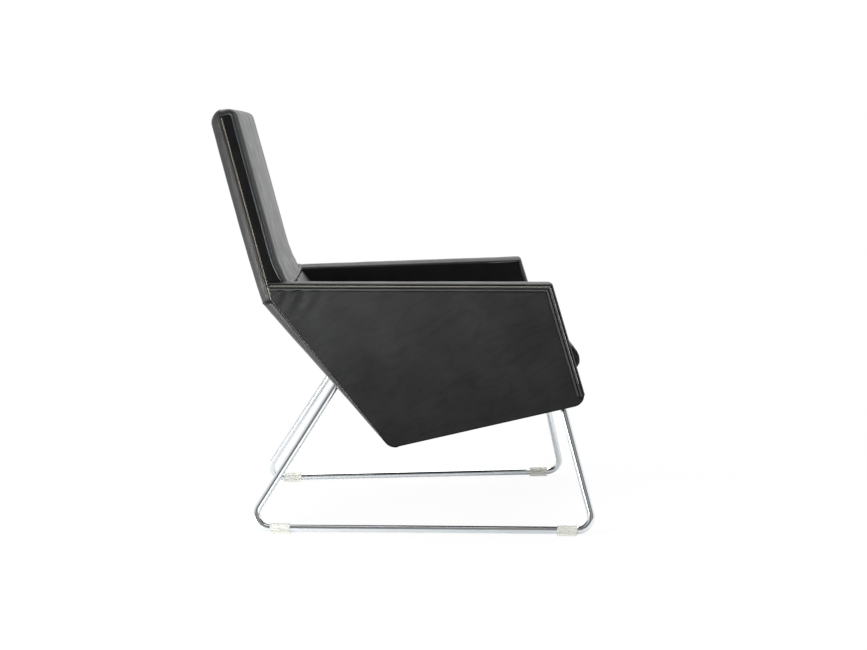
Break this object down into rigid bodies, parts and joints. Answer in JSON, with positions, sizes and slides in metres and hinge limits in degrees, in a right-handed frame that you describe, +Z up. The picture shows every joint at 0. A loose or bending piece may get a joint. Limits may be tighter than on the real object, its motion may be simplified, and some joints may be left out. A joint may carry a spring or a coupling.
{
  "type": "lounge chair",
  "caption": "Angular leather lounge armchair with flared flat arms and a high slim back, on two bent-rod sled runners.",
  "frame": {"origin": "on the floor, at the middle of the chair's width and depth", "axes": "+Z up, -Y the way the chair faces, +X to the right seen from behind the chair"},
  "size_m": [0.773, 0.8317, 0.9269],
  "materials": {
    "black_leather": "satin",
    "chromed_rod": "polished",
    "clear_plastic": "clear, polished",
    "steel": "zinc plated",
    "plywood": "raw",
    "webbing": "woven",
    "dark_cloth": "matte",
    "foam": "matte"
  },
  "bodies": {
    "chair": {"sled_rod_left": "chromed_rod", "sled_rod_right": "chromed_rod", "rod_plates": "steel", "plate_screws": "steel", "tee_nuts": "steel", "glide_front_left": "clear_plastic", "glide_front_right": "clear_plastic", "glide_rear_left": "clear_plastic", "glide_rear_right": "clear_plastic", "glide_pins": "steel", "side_core_left": "plywood", "side_core_right": "plywood", "front_rail": "plywood", "front_beam": "plywood", "seat_back_rail": "plywood", "rear_rail": "plywood", "seat_rail_left": "plywood", "seat_rail_right": "plywood", "back_stile_left": "plywood", "back_stile_right": "plywood", "back_top_rail": "plywood", "back_board": "plywood", "lower_board": "plywood", "frame_screws": "steel", "seat_webbing_long": "webbing", "seat_webbing_cross": "webbing", "back_webbing": "webbing", "deck_cloth": "dark_cloth", "side_foam_left": "foam", "side_foam_right": "foam", "arm_pad_left": "foam", "arm_pad_right": "foam", "front_pad": "foam", "back_pad": "foam", "rear_foam": "foam", "lower_rear_foam": "foam", "outer_side_cover_left": "black_leather", "outer_side_cover_right": "black_leather", "inner_arm_cover_left": "black_leather", "inner_arm_cover_right": "black_leather", "arm_seam_left": "black_leather", "arm_seam_right": "black_leather", "inner_back_cover": "black_leather", "back_gusset_left": "black_leather", "back_gusset_right": "black_leather", "back_edge_foam_left": "foam", "back_edge_foam_right": "foam", "outer_back_cover": "black_leather", "lower_rear_cover": "black_leather", "front_apron": "black_leather", "underside_cover": "dark_cloth"},
    "seat_cushion": {"cushion_cover": "black_leather", "cushion_core": "foam", "cushion_zip": "steel"}
  },
  "joints": [
    {"name": "cushion_lift", "type": "slide", "parent": "chair", "child": "seat_cushion", "axis": [0, 0, 1], "range_m": [0, 0.32]}
  ]
}
